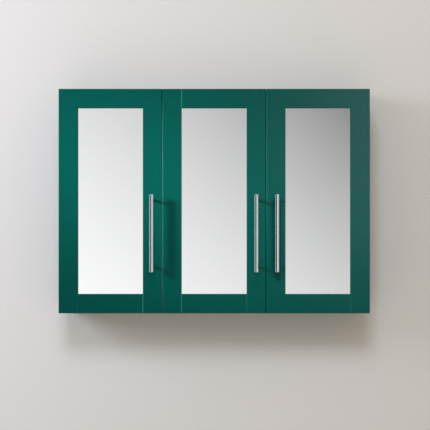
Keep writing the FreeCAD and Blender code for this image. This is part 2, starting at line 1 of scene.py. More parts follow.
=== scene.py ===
# %% [markdown]
# # A wall-hung mirror cabinet
# The cabinet has a board carcass and three framed doors, each with a mirror and a steel bar handle. Its
# shapes come from a CAD model, which is loaded as a fixed frame. This lesson lights that frame, gives every
# surface a finish, eases its sharp edges and models the small fittings that show when a door is open.

import json
import math

import bmesh
import bpy
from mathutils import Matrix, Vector


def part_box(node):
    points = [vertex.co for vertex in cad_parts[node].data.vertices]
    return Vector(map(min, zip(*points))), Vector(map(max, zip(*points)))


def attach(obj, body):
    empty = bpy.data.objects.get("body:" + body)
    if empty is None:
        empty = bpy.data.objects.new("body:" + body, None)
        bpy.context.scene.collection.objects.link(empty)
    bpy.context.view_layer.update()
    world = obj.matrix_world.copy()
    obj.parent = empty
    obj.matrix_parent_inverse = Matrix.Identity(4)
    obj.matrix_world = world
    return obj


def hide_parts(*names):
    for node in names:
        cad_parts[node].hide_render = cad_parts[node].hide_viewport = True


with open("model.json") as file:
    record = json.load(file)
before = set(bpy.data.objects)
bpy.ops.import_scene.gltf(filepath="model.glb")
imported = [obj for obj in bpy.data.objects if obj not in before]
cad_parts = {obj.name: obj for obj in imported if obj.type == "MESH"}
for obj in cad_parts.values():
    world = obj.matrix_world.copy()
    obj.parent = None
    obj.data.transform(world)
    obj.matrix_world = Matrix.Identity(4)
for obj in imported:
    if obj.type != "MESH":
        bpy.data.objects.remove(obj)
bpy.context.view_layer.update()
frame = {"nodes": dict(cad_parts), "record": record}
bpy.ops.object.select_all(action="DESELECT")

# %% [markdown]
# ## The camera
# The photograph looks straight at the doors from a few steps away, a little below the middle of the cabinet.
# A camera can be aimed with a constraint, but turning it a quarter about X is enough here: it then looks
# along +Y. SIGHT_X and SIGHT_Z say where its line of sight meets the doors. The lens follows from the
# distance and from how wide a strip of the doors fills the image.

# %% Place the camera
DOOR_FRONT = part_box("rail_top_middle")[0][1]
SIGHT_X = 0.0023
SIGHT_Z = -0.0401
DISTANCE = 2.6
VIEW_WIDTH = 1.2388
SENSOR = 36
CAMERA_Y = DOOR_FRONT - DISTANCE
UPRIGHT = (math.radians(90), 0, 0)

bpy.ops.object.camera_add(location=(SIGHT_X, CAMERA_Y, SIGHT_Z), rotation=UPRIGHT)
camera = bpy.context.object
camera.data.sensor_width = SENSOR
camera.data.lens = SENSOR * DISTANCE / VIEW_WIDTH
bpy.context.scene.camera = camera
bpy.context.scene.view_settings.view_transform = "Standard"
print("lens:", round(camera.data.lens, 1), "mm")

# %% [markdown]
# ## Sums on shader sockets
# A finish is a web of shader nodes. Wired by hand, a small sum takes three boxes and four cables. The class
# below wraps one socket, so that a sum can be written as a line of Python, and each operator adds its node.

# %% A socket that works like a number
class Wire:
    """A socket of a shader node, used in sums as a number is."""

    def __init__(self, tree, socket=None):
        self.tree = tree
        self.socket = socket

    def node(self, kind, settings=None, inputs=None, output=0):
        """Adds any node: first its settings, then the values or links of its sockets."""
        made = self.tree.nodes.new("ShaderNode" + kind)
        for name, value in (settings or {}).items():
            setattr(made, name, value)
        for name, value in (inputs or {}).items():
            if isinstance(value, Wire):
                self.tree.links.new(value.socket, made.inputs[name])
            else:
                made.inputs[name].default_value = value
        return Wire(self.tree, made.outputs[output])

    def calc(self, operation, first, second):
        return self.node("Math", {"operation": operation}, {0: first, 1: second})

    def __add__(self, other):
        return self.calc("ADD", self, other)

    def __sub__(self, other):
        return self.calc("SUBTRACT", self, other)

    def __rsub__(self, other):
        return self.calc("SUBTRACT", other, self)

    def __mul__(self, other):
        return self.calc("MULTIPLY", self, other)

    def __gt__(self, other):
        return self.calc("GREATER_THAN", self, other)

    def __lt__(self, other):
        return self.calc("LESS_THAN", self, other)

    def __abs__(self):
        return self.calc("ABSOLUTE", self, 0)

    __radd__ = __add__
    __rmul__ = __mul__


print("sums: + - * > < and abs")

# %% [markdown]
# ## Patterns, colours and links
# Nearly every surface needs a cloudy pattern, a mix of two colours, a coordinate and a link to a socket. One
# helper for each keeps the recipes below short. Colours go through a Mix node, because a Math node would
# turn them grey.

# %% Helpers for every surface
def axes(paint, place, names="XYZ"):
    """The coordinates of a place, one socket for each name."""
    return [paint.node("SeparateXYZ", None, {0: place}, name) for name in names]


def noise(paint, place, scale, detail=2):
    return paint.node("TexNoise", None, {"Vector": place, "Scale": scale, "Detail": detail}, "Fac")


def blend(paint, factor, first, second):
    """The first colour where the factor is 0, and the second where it is 1."""
    first, second = [c if isinstance(c, Wire) else (*c, 1) for c in (first, second)]
    return paint.node("Mix", {"data_type": "RGBA"}, {0: factor, 6: first, 7: second}, 2)


def feed(wire, node, socket):
    wire.tree.links.new(wire.socket, node.inputs[socket])


print("helpers: axes, noise, blend and feed")

# %% [markdown]
# ## Paint for the wall and the floor
# The stage planes have one painted side. Where a ray meets the other side, the Backfacing output mixes in a
# transparent shader, so a camera behind the wall still sees the cabinet's back. Most of the light on the
# floor is warm, and it would look brown in the mirrors. So a paint can glow, but only for the rays that show
# it: to the camera, in a reflection or through glass. Other rays find plain matt paint.

# %% Mix the stage paint
SHOWING_RAYS = ("Camera", "Glossy", "Transmission")
FADED = 0.985


def stage_paint(name, colour, glow=0.0):
    material = bpy.data.materials.new(name)
    material.use_nodes = True
    paint = Wire(material.node_tree)
    place = paint.node("TexCoord", output="Object")
    faded = [FADED * channel for channel in colour]
    tone = blend(paint, noise(paint, place, scale=1.5, detail=3), colour, faded)
    matt = paint.node("BsdfDiffuse", None, {"Color": tone})
    bright = paint.node("Emission", None, {"Color": tone})
    shown = sum(paint.node("LightPath", output=f"Is {rays} Ray") for rays in SHOWING_RAYS)
    front = paint.node("MixShader", None, {0: glow * shown, 1: matt, 2: bright})
    clear = paint.node("BsdfTransparent")
    behind = paint.node("NewGeometry", output="Backfacing")
    sides = paint.node("MixShader", None, {0: behind, 1: front, 2: clear})
    feed(sides, material.node_tree.nodes["Material Output"], "Surface")
    return material


print("the paint glows for:", *SHOWING_RAYS)

# %% [markdown]
# ## The wall and the floor
# A cabinet like this hangs on a wall, and its shadow on that wall shows how deep it is. The wall plane
# stands 1 mm in front of the cabinet's rear edges, so that these can be seen from behind. An opening in the
# wall, a little smaller than the cabinet, lets light reach its back: the plane's face is inset to a square
# metre, and that inner face is sized, moved to the cabinet's height and deleted.

# %% Build the wall and the floor
WALL_Y = -0.001
FLOOR_Z = -1.3
ROOM = 9
OPENING_WIDTH = 0.87
OPENING_HEIGHT = 0.62

bpy.ops.mesh.primitive_plane_add(size=ROOM, location=(0, WALL_Y, FLOOR_Z + ROOM / 2), rotation=UPRIGHT)
wall = bpy.context.object
wall.name = "wall"
bpy.ops.object.mode_set(mode="EDIT")
bpy.ops.mesh.inset(thickness=(ROOM - 1) / 2)
bpy.ops.transform.resize(value=(OPENING_WIDTH, 1, OPENING_HEIGHT))
bpy.ops.transform.translate(value=(0, 0, -FLOOR_Z - ROOM / 2))
bpy.ops.mesh.delete(type="FACE")
bpy.ops.object.mode_set(mode="OBJECT")
wall.data.materials.append(stage_paint("wall_paint", (0.80, 0.80, 0.80)))
bpy.ops.mesh.primitive_plane_add(size=ROOM, location=(0, WALL_Y - ROOM / 2, FLOOR_Z))
floor = bpy.context.object
floor.name = "floor"
floor.data.materials.append(stage_paint("floor_paint", (0.66, 0.65, 0.63), glow=0.75))
print("wall and floor:", ROOM, "m square")

# %% [markdown]
# ## What the mirrors see
# A mirror shows what stands behind the camera. In the photograph that is a soft grey sweep, so a card behind
# the camera will give it. The card's left edge is picked by its x and extruded to the left and forward. That
# wing still fills the mirrors when they are seen from the right.

# %% Hang the card
CARD_BACK = 0.85
CARD_SIZE = 2.6
CARD_PLACE = (SIGHT_X, CAMERA_Y - CARD_BACK, SIGHT_Z)
WING = (-1.6, 1.9, 0)

bpy.ops.mesh.primitive_plane_add(size=CARD_SIZE, location=CARD_PLACE, rotation=(math.radians(-90), 0, 0))
card = bpy.context.object
card.name = "mirror_card"
bpy.ops.object.mode_set(mode="EDIT")
bpy.ops.mesh.select_mode(type="EDGE")
bpy.ops.mesh.select_all(action="DESELECT")
sheet = bmesh.from_edit_mesh(card.data)
for edge in sheet.edges:
    edge.select_set(all(corner.co.x < 0 for corner in edge.verts))
bmesh.update_edit_mesh(card.data)
bpy.ops.mesh.extrude_region_move(TRANSFORM_OT_translate={"value": WING})
bpy.ops.object.mode_set(mode="OBJECT")
print("card:", CARD_BACK, "m behind the camera, with", len(card.data.polygons), "faces")

# %% [markdown]
# ## The card's glow
# The sweep is bright at the lower left and darker at the upper right. It is a short sum of the card's own
# coordinates: x runs across, y runs down and z runs forward along the wing. A least value keeps the far
# corner grey. Light linking lets only the mirror panes receive the glow, so that it doesn't haze the
# lacquer. To all other pieces the card is a dark board, and the steel bars mirror it as a dark stripe.

# %% Light the card
DOORS = ("left", "middle", "right")
GLOW = 0.77
GLOW_ACROSS = -0.228
GLOW_DOWN = 0.247
GLOW_DIAGONAL = 0.068
GLOW_OUTWARDS = -0.034
GLOW_FORWARD = -0.25
GLOW_LEAST = 0.28

glow = bpy.data.materials.new("card_glow")
glow.use_nodes = True
light = Wire(glow.node_tree)
across, down, forward = axes(light, light.node("TexCoord", output="Object"))
sweep = GLOW + GLOW_ACROSS * across + GLOW_DOWN * down + GLOW_DIAGONAL * across * down
sweep = sweep + GLOW_OUTWARDS * (across * across + down * down) + GLOW_FORWARD * forward
shine = light.node("Emission", None, {"Color": light.calc("MAXIMUM", sweep, GLOW_LEAST)})
feed(shine, glow.node_tree.nodes["Material Output"], "Surface")
card.data.materials.append(glow)
card.visible_camera = False
card.visible_diffuse = False
card.visible_shadow = False
card.visible_transmission = False
panes = bpy.data.collections.new("mirror_panes")
for door in DOORS:
    panes.objects.link(frame["nodes"][f"mirror_{door}"])
card.light_linking.receiver_collection = panes

# %% [markdown]
# ## The main lamps
# The shadows fall to the right and down, so the main lamp stands high on the left, and it is over a metre
# across because their edges are soft. A second lamp, high in front, fills the shadows and lights the doors
# evenly. A Sun lamp would throw hard, parallel shadows, so both are Area lamps, aimed by pointing their -Z
# axis at the cabinet. They stay out of the reflections, where they would show as two white discs.

# %% Add the main lamps
def aim(lamp, target):
    """Turns a lamp so that it shines at a point."""
    lamp.rotation_euler = (Vector(target) - lamp.location).to_track_quat("-Z", "Y").to_euler()


def soft_lamp(name, place, size, power, colour):
    bpy.ops.object.light_add(type="AREA", location=place)
    lamp = bpy.context.object
    lamp.name = name
    lamp.data.shape = "DISK"
    lamp.data.size = size
    lamp.data.energy = power
    lamp.data.color = colour
    lamp.visible_camera = False
    aim(lamp, (0, 0, 0))
    return lamp


key = soft_lamp("key_lamp", (-2.30, -1.24, 0.68), size=1.25, power=31, colour=(0.79, 0.84, 1.0))
fill = soft_lamp("fill_lamp", (-0.25, -3.2, 2.55), size=1.4, power=63, colour=(0.88, 0.90, 1.0))
for lamp in (key, fill):
    lamp.visible_glossy = False
print("main lamps:", key.name, "and", fill.name)

# %% [markdown]
# ## Lamps for the gloss
# The right door has a cool haze, and each steel bar has a bright stripe. Both are reflections of something
# tall and bright in the room, as a window is. Two tall lamps on the right give them, and because they stay
# hidden from diffuse rays they add no other light. The lacquer is brightest between the left door and the
# middle one: a narrow Spot lamp beside the main lamp adds that place.

# %% Add the lamps for the gloss
WINDOW_HEIGHT = 1.6
STRIP_HEIGHT = 2.2
BEAM_PLACE = (-2.25, -1.22, 0.72)
BEAM_TARGET = (-0.13, DOOR_FRONT, 0.045)

window = soft_lamp("window_lamp", (1.17, -2.78, 0.55), size=1.0, power=80, colour=(0.80, 0.82, 1.0))
strip = soft_lamp("strip_lamp", (0.73, -2.52, 0.1), size=2.05, power=10.2, colour=(0.95, 0.98, 1.0))
for lamp, height in ((window, WINDOW_HEIGHT), (strip, STRIP_HEIGHT)):
    lamp.data.shape = "RECTANGLE"
    lamp.data.size_y = height
    lamp.visible_diffuse = False

bpy.ops.object.light_add(type="SPOT", location=BEAM_PLACE)
beam = bpy.context.object
beam.name = "beam_lamp"
beam.data.energy = 760
beam.data.color = (0.90, 1.0, 0.94)
beam.data.spot_size = math.radians(13)
beam.data.spot_blend = 1.0
beam.data.shadow_soft_size = 0.25
beam.visible_camera = False
beam.visible_glossy = False
aim(beam, BEAM_TARGET)
print("gloss lamps:", window.name, strip.name, beam.name)

# %% [markdown]
# ## Which lamp lights what
# The window and the beam are for the lacquer alone, and the strip is for the bars. One more lamp stands
# behind the wall and lights only the cabinet's back. Each of these lamps gets a collection of receivers. The
# pieces that stand for CAD nodes don't exist yet, so later cells link them to these collections.

# %% Link the lamps to their pieces
lacquered = bpy.data.collections.new("lacquered")
bars = bpy.data.collections.new("bars")
rear_parts = bpy.data.collections.new("rear_parts")
rear = soft_lamp("rear_lamp", (-1.6, 3.2, 1.7), size=1.6, power=95, colour=(1.0, 0.98, 0.95))
for lamp, receivers in ((window, lacquered), (beam, lacquered), (strip, bars), (rear, rear_parts)):
    lamp.light_linking.receiver_collection = receivers
for name in ("back_panel", "hanging_rail_top", "hanging_rail_bottom"):
    rear_parts.objects.link(frame["nodes"][name])

# %% [markdown]
# ## The surroundings
# A room gives light from all sides, and here it is warm, because the lamps are cool. What the eye should see
# is paler than that. So the world mixes three backgrounds: a warm one that lights the pieces, a bright one
# for reflections, and a pale one for the camera and for rays through glass.

# %% Set the surroundings
world = bpy.data.worlds.new("surroundings")
world.use_nodes = True
bpy.context.scene.world = world
sky = Wire(world.node_tree)
warm = sky.node("Background", None, {"Color": (1.0, 0.85, 0.59, 1), "Strength": 0.42})
room = sky.node("Background", None, {"Color": (0.98, 0.99, 1.0, 1), "Strength": 0.75})
pale = sky.node("Background", None, {"Color": (1.0, 0.99, 0.98, 1), "Strength": 0.78})
seen, glossy, through = [sky.node("LightPath", output=f"Is {rays} Ray") for rays in SHOWING_RAYS]
around = sky.node("MixShader", None, {0: glossy, 1: warm, 2: room})
around = sky.node("MixShader", None, {0: seen + through, 1: around, 2: pale})
feed(around, world.node_tree.nodes["World Output"], "Surface")
print("surroundings:", bpy.context.scene.world.name)

# %% [markdown]
# ## Painted highlights on the lacquer
# The door frames are lacquered wood. Thin pale lines are painted into the lacquer's colour as painted
# highlights, where light would catch the rounded edges: at some joints between a stile and a rail, and along
# some outer edges, where they fade towards their ends. Image textures could draw such lines. Sums on the
# Object coordinates do it without any image, and the places come from the CAD boxes: each sum is above 0
# only near its line.

# %% Draw the pale lines
JOINT_HIGHLIGHT_WIDTH = 0.0012
EDGE_HIGHLIGHT_REACH = 0.0010
FADE = 90
MIRROR_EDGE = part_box("rail_top_middle")[0][2]
TOP = 1
BOTTOM = -1
# Painted highlights at joints: the stile beside the joint, the rail's end and the strength.
JOINT_HIGHLIGHTS = (
    ("handle_stile_left", BOTTOM, 1.0),
    ("hinge_stile_middle", BOTTOM, 1.0),
    ("hinge_stile_middle", TOP, 1.0),
    ("handle_stile_middle", BOTTOM, 0.45),
    ("hinge_stile_right", BOTTOM, 0.4),
    ("hinge_stile_left", BOTTOM, 0.15),
)
# Painted highlights along outer edges: the stile, the strength and the height where the line is brightest.
EDGE_HIGHLIGHTS = (
    ("handle_stile_left", 1.0, -0.02),
    ("hinge_stile_middle", 0.75, -0.02),
    ("handle_stile_right", 0.48, 0.20),
)


def stile_edge(stile, inner):
    """The x of a stile's inner edge, beside the mirror, or of its outer edge."""
    low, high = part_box(stile)
    left_of_mirror = low[0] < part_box("mirror_" + stile.split("_")[-1])[0][0]
    return high[0] if inner == left_of_mirror else low[0]


def painted_highlights(x, z):
    """A mask of the painted highlights at joints and along edges, each strongest at its own height."""
    lines = []
    for stile, end, strength in JOINT_HIGHLIGHTS:
        near = abs(x - stile_edge(stile, inner=True)) < JOINT_HIGHLIGHT_WIDTH / 2
        lines.append(strength * near * (end * z > MIRROR_EDGE))
    for stile, strength, height in EDGE_HIGHLIGHTS:
        near = abs(x - stile_edge(stile, inner=False)) < EDGE_HIGHLIGHT_REACH
        away = (z - height) * (z - height)
        lines.append(strength * near * (1 - FADE * away * away))
    return sum(lines)


print("pale lines:", len(JOINT_HIGHLIGHTS), "joints and", len(EDGE_HIGHLIGHTS), "edges")

# %% [markdown]
# ## Satin green lacquer
# The door frames are sprayed with a deep teal-green satin lacquer. Sprayed paint is never quite flat: it
# dries with a fine ripple, and its gloss varies a little. A slow noise shifts the colour, a middle one the
# roughness, and a fine one goes through a Bump node. The frames are sprayed from the front, so the coat is
# duller on every face behind it.

# %% Mix the lacquer
GREEN = (0.001, 0.081, 0.067)
GREEN_DEEP = (0.001, 0.0745, 0.0615)
# The colour of the painted highlights.
HIGHLIGHT_GREEN = (0.06, 0.29, 0.26)
SLOW = 3.5
MIDDLING = 45
FINE = 320
RIPPLE = 0.00003
FRONT_DEPTH = 0.0006


def start_finish(name, constants):
    """A new material, with constants on its shader's own sockets, and its Object coordinates."""
    material = bpy.data.materials.new(name)
    material.use_nodes = True
    shader = material.node_tree.nodes["Principled BSDF"]
    for socket, value in constants.items():
        shader.inputs[socket].default_value = value
    paint = Wire(material.node_tree)
    return material, paint, shader, paint.node("TexCoord", output="Object")


def bump(paint, height, depth):
    return paint.node("Bump", None, {"Height": height, "Distance": depth, "Strength": 1.0}, "Normal")


def lacquer():
    material, paint, shader, place = start_finish("satin_green_lacquer", {"Specular IOR Level": 0.045})
    x, y, z = axes(paint, place)
    green = blend(paint, noise(paint, place, SLOW), GREEN, GREEN_DEEP)
    # The pale lines mixed into the base colour here are painted highlights.
    feed(blend(paint, painted_highlights(x, z), green, HIGHLIGHT_GREEN), shader, "Base Color")
    dull = y > DOOR_FRONT + FRONT_DEPTH
    feed(0.28 + 0.05 * noise(paint, place, MIDDLING) + 0.45 * dull, shader, "Roughness")
    feed(bump(paint, noise(paint, place, FINE, detail=1), RIPPLE), shader, "Normal")
    return material


finishes = {"green_lacquer": lacquer()}
print("made", finishes["green_lacquer"].name)

# %% [markdown]
# ## Two-faced carcass boards
# The side, top and bottom boards are green outside and on their front edges, but white melamine inside, as
# such cabinets are. The partition is white with a green front edge, because that edge can be seen between
# two doors. One material can hold it all: sums on the Object coordinates give a mask that is 1 inside the
# box.

# %% Face the carcass boards
WHITE = (0.80, 0.80, 0.785)
WHITE_COOL = (0.775, 0.78, 0.775)
TOUCH = 0.0001
INNER_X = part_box("top_panel")[1][0] + TOUCH
INNER_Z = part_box("partition")[1][2] + TOUCH
BOARD_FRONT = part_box("side_panel_left")[0][1]


def carcass_board():
    material, paint, shader, place = start_finish("carcass_board", {"Specular IOR Level": 0.1})
    x, y, z = axes(paint, place)
    inside = (abs(x) < INNER_X) * (abs(z) < INNER_Z) * (y > BOARD_FRONT + FRONT_DEPTH)
    slow = noise(paint, place, SLOW)
    white = blend(paint, slow, WHITE, WHITE_COOL)
    green = blend(paint, slow, GREEN, GREEN_DEEP)
    feed(blend(paint, inside, green, white), shader, "Base Color")
    feed(0.34 + 0.06 * noise(paint, place, MIDDLING), shader, "Roughness")
    feed(bump(paint, noise(paint, place, FINE, detail=1), RIPPLE), shader, "Normal")
    return material


finishes["green_board"] = carcass_board()
print("white inside |x| <", round(INNER_X, 4), "and |z| <", round(INNER_Z, 4))

# %% [markdown]
# ## White board and hardboard
# The boards behind the mirrors and the hanging rails are faced with white melamine, which has a fine pearl
# texture. The thin back panel is white in front, and shows brown pressed fibre behind, where nobody paints
# it. A mask on y tells its two faces apart.

# %% Face the white boards
BROWN = (0.30, 0.165, 0.085)
BROWN_DEEP = (0.17, 0.085, 0.042)
BACK_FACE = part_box("back_panel")[1][1] - 0.0005


def white_board():
    material, paint, shader, place = start_finish("white_melamine", {"Specular IOR Level": 0.45})
    feed(blend(paint, noise(paint, place, scale=5), WHITE, WHITE_COOL), shader, "Base Color")
    feed(0.38 + 0.10 * noise(paint, place, scale=60), shader, "Roughness")
    feed(bump(paint, noise(paint, place, scale=700, detail=1), depth=0.00002), shader, "Normal")
    return material


def back_board():
    material, paint, shader, place = start_finish("hardboard_back", {"Specular IOR Level": 0.4})
    (y,) = axes(paint, place, "Y")
    behind = y > BACK_FACE
    fibre = noise(paint, place, scale=420, detail=4)
    brown = blend(paint, fibre, BROWN, BROWN_DEEP)
    white = blend(paint, noise(paint, place, scale=5), WHITE, WHITE_COOL)
    feed(blend(paint, behind, white, brown), shader, "Base Color")
    feed(0.40 + 0.35 * behind, shader, "Roughness")
    feed(bump(paint, fibre, depth=0.00008), shader, "Normal")
    return material


finishes["white_board"] = white_board()
finishes["back_board"] = back_board()
print("made", finishes["white_board"].name, "and", finishes["back_board"].name)

# %% [markdown]
# ## Mirror and shelf glass
# Silvered glass is a metal to the shader: fully metallic and almost perfectly smooth, with a faint green
# cast. The shelves let light through. Sheet glass looks green only at its edges, so a mask from the surface
# normal finds the faces that don't look up or down. A milky green body is mixed in there, as on ground
# glass.

# %% Make the glass
SILVER = (0.925, 0.935, 0.93)
SILVER_DEEP = (0.915, 0.925, 0.922)
CLEAR = (0.95, 0.985, 0.97)
EDGE_GREEN = (0.55, 0.84, 0.74)
GROUND_GREEN = (0.30, 0.62, 0.50)
GROUND_PALE = (0.40, 0.70, 0.58)


def mirror():
    material, paint, shader, place = start_finish("silvered_glass", {"Metallic": 1.0})
    feed(blend(paint, noise(paint, place, scale=4), SILVER, SILVER_DEEP), shader, "Base Color")
    feed(0.012 + 0.012 * noise(paint, place, scale=25), shader, "Roughness")
    return material


def shelf_glass():
    constants = {"Transmission Weight": 1.0, "IOR": 1.5}
    material, paint, shader, place = start_finish("shelf_glass", constants)
    (upwards,) = axes(paint, paint.node("NewGeometry", output="Normal"), "Z")
    edge = abs(upwards) < 0.5
    feed(blend(paint, edge, CLEAR, EDGE_GREEN), shader, "Base Color")
    feed(0.01 + 0.3 * edge, shader, "Roughness")
    ground = blend(paint, noise(paint, place, scale=500, detail=1), GROUND_GREEN, GROUND_PALE)
    matt = {"Base Color": ground, "Roughness": 1.0, "Specular IOR Level": 0.0}
    body = paint.node("BsdfPrincipled", None, matt)
    glass = Wire(paint.tree, shader.outputs[0])
    sheet = paint.node("MixShader", None, {0: 0.55 * edge, 1: glass, 2: body})
    feed(sheet, paint.tree.nodes["Material Output"], "Surface")
    return material


finishes["mirror_glass"] = mirror()
finishes["shelf_glass"] = shelf_glass()
print("made", finishes["mirror_glass"].name, "and", finishes["shelf_glass"].name)

# %% [markdown]
# ## Metals
# The bar handles are brushed along their length, so their streaks come from a noise that is squeezed across
# the bar and stretched along it. Hinges are nickel plated, with shorter streaks from the press. Screws, pins
# and clips are zinc plated, and zinc has cloudy patches.

# %% Make the metals
BRUSHING = 0.00001


def streaks(paint, place, squeeze, scale):
    squeezed = paint.node("Mapping", None, {"Vector": place, "Scale": squeeze})
    return noise(paint, squeezed, scale, detail=3)


def handle_steel():
    material, paint, shader, place = start_finish("brushed_steel", {"Metallic": 1.0})
    lines = streaks(paint, place, squeeze=(60, 60, 1), scale=40)
    feed(blend(paint, lines, (0.70, 0.74, 0.765), (0.60, 0.64, 0.665)), shader, "Base Color")
    feed(0.15 + 0.10 * lines, shader, "Roughness")
    feed(bump(paint, lines, BRUSHING), shader, "Normal")
    return material


def hinge_nickel():
    material, paint, shader, place = start_finish("nickel_plate", {"Metallic": 1.0})
    lines = streaks(paint, place, squeeze=(1, 8, 8), scale=90)
    feed(blend(paint, lines, (0.69, 0.665, 0.62), (0.60, 0.58, 0.54)), shader, "Base Color")
    feed(0.20 + 0.14 * lines, shader, "Roughness")
    feed(bump(paint, lines, BRUSHING), shader, "Normal")
    return material


def fixing_zinc():
    material, paint, shader, place = start_finish("zinc_plate", {"Metallic": 1.0})
    cloud = noise(paint, place, scale=160, detail=3)
    feed(blend(paint, cloud, (0.66, 0.68, 0.70), (0.52, 0.53, 0.52)), shader, "Base Color")
    feed(0.26 + 0.22 * cloud, shader, "Roughness")
    return material


finishes["handle_steel"] = handle_steel()
finishes["hinge_steel"] = hinge_nickel()
finishes["fixing_steel"] = fixing_zinc()
print("metals:", [finishes[name].name for name in ("handle_steel", "hinge_steel", "fixing_steel")])

# %% [markdown]
# ## Beech and soft plastic
# The dowels are beech, with fine rays along the grain. The door bumpers are drops of cloudy clear plastic,
# which is part transmission and part milky body.

# %% Make the wood and the plastic
def beech():
    material, paint, shader, place = start_finish("beech", {"Specular IOR Level": 0.3})
    grain = streaks(paint, place, squeeze=(1, 12, 12), scale=60)
    feed(blend(paint, grain, (0.55, 0.36, 0.20), (0.38, 0.22, 0.11)), shader, "Base Color")
    feed(0.55 + 0.2 * grain, shader, "Roughness")
    feed(bump(paint, grain, depth=0.00005), shader, "Normal")
    return material


def bumper_plastic():
    constants = {"Transmission Weight": 0.55, "IOR": 1.46}
    material, paint, shader, place = start_finish("cloudy_plastic", constants)
    cloud = noise(paint, place, scale=300)
    feed(blend(paint, cloud, (0.90, 0.91, 0.90), (0.82, 0.84, 0.83)), shader, "Base Color")
    feed(0.22 + 0.12 * cloud, shader, "Roughness")
    return material


finishes["dowel_wood"] = beech()
finishes["bumper_rubber"] = bumper_plastic()
print("finishes:", len(finishes))

# %% [markdown]
# ## Dress the frame
# Every CAD node has one material slot, and the record names its finish. So dressing the frame is one
# assignment for each node. Two white boards differ: the back panel's faces aren't alike, and the partition's
# edge is green.

# %% Give every CAD node its finish
SLOT_OF = {part["node"]: part["material_slot"] for part in frame["record"]["subparts"]}
BODIES = frame["record"]["behaviour"]["bodies"]
BODY_OF = {node: body for body, nodes in BODIES.items() for node in nodes}
FINISH_OF = dict(SLOT_OF, back_panel="back_board", partition="green_board")


def coat(thing, finish):
    thing.data.materials.clear()
    thing.data.materials.append(finishes[finish])


for name, node in frame["nodes"].items():
    coat(node, FINISH_OF[name])
print("dressed", len(frame["nodes"]), "nodes")

# %% [markdown]
# ## Select before shaping
# An operator acts on all that is selected. In the window that is done with the mouse, and in a script by
# place or by normal. These helpers select one object, then the sharp edges or the faces that a step needs.

# %% Helpers for selecting
SHARP = math.radians(28)


def on_its_own(thing):
    """Selects one object and makes it active."""
    bpy.ops.object.select_all(action="DESELECT")
    thing.select_set(True)
    bpy.context.view_layer.objects.active = thing


def pick_edges(mesh, wanted):
    """In edit mode, selects the sharp edges whose middle is wanted."""
    bpy.ops.mesh.select_mode(type="EDGE")
    bpy.ops.mesh.select_all(action="DESELECT")
    shell = bmesh.from_edit_mesh(mesh)
    for edge in shell.edges:
        sharp = len(edge.link_faces) == 2 and edge.calc_face_angle(0) > SHARP
        edge.select_set(sharp and wanted((edge.verts[0].co + edge.verts[1].co) / 2))
    bmesh.update_edit_mesh(mesh)


def pick_faces(mesh, wanted):
    """In edit mode, selects the faces whose normal is wanted."""
    bpy.ops.mesh.select_mode(type="FACE")
    bpy.ops.mesh.select_all(action="DESELECT")
    shell = bmesh.from_edit_mesh(mesh)
    for face in shell.faces:
        face.select_set(wanted(face.normal))
    bmesh.update_edit_mesh(mesh)


print("edges are sharp above", round(math.degrees(SHARP)), "degrees")

# %% [markdown]
# ## Ease the sharp edges
# CAD edges are razor sharp. Real lacquered wood, board and bent steel have small rounded edges, which catch
# a thin line of light. A Bevel modifier would round every edge at once. Here a copy of the node is merged
# into clean faces, and the bevel operator rounds only the edges that show. A Weighted Normal modifier then
# keeps the large faces flat in the shading.

# %% Helpers for easing edges
MERGE = 0.000002
FLAT = math.radians(0.2)
SMOOTH = math.radians(30)


def settle(piece, *nodes):
    """The piece stands for CAD nodes: it takes their finish and moves with their body."""
    coat(piece, FINISH_OF[nodes[0]])
    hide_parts(*nodes)
    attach(piece, BODY_OF[nodes[0]])


def eased(node, radius, wanted=lambda middle: True):
    """A copy of a node with its wanted sharp edges rounded, which stands for it."""
    mesh = frame["nodes"][node].data.copy()
    piece = bpy.data.objects.new(node + "_eased", mesh)
    bpy.context.collection.objects.link(piece)
    on_its_own(piece)
    bpy.ops.mesh.customdata_custom_splitnormals_clear()
    bpy.ops.object.mode_set(mode="EDIT")
    bpy.ops.mesh.select_all(action="SELECT")
    bpy.ops.mesh.remove_doubles(threshold=MERGE)
    bpy.ops.mesh.dissolve_limited(angle_limit=FLAT)
    pick_edges(mesh, wanted)
    bpy.ops.mesh.bevel(offset=radius, segments=2, profile=0.5, clamp_overlap=True)
    bpy.ops.object.mode_set(mode="OBJECT")
    bpy.ops.object.shade_smooth_by_angle(angle=SMOOTH)
    flat = piece.modifiers.new("flat_faces", "WEIGHTED_NORMAL")
    flat.keep_sharp = True
    bpy.ops.object.modifier_apply(modifier=flat.name)
    settle(piece, node)
    return piece


print("ready to ease edges")

# %% [markdown]
# ## Door frames
# Two stiles and two rails make each frame. The lacquer rounds the edges of their front faces: the outer
# arris, the edge round the mirror, and the joint between rail and stile, which is left as a fine groove. So
# the edges to round are those whose middle lies on the doors' front.

# %% Ease the door frames
FRAME_PARTS = ("hinge_stile", "handle_stile", "rail_top", "rail_bottom")
FRAME_EASE = 0.00035


def on_door_front(middle):
    return middle.y < DOOR_FRONT + TOUCH


for door in DOORS:
    for part in FRAME_PARTS:
        lacquered.objects.link(eased(f"{part}_{door}", FRAME_EASE, on_door_front))

# %% [markdown]
# ## Carcass boards and shelves
# Edge-banded boards are scraped along their front and back edges, so only edges at those two ends are
# rounded. Glass shelves have a ground edge all round.

# %% Ease the boards and the shelves
BOARDS = ("side_panel_left", "side_panel_right", "top_panel", "bottom_panel", "partition")
SHELVES = ("left_lower", "left_upper", "right_lower", "right_upper")
BOARD_EASE = 0.0005
SHELF_EASE = 0.0008


def on_board_ends(middle):
    return middle.y < BOARD_FRONT + TOUCH or middle.y > -TOUCH


for board in BOARDS:
    rear_parts.objects.link(eased(board, BOARD_EASE, on_board_ends))
for shelf in SHELVES:
    eased(f"shelf_{shelf}", SHELF_EASE)
print("eased", len(BOARDS), "boards and", len(SHELVES), "shelves")

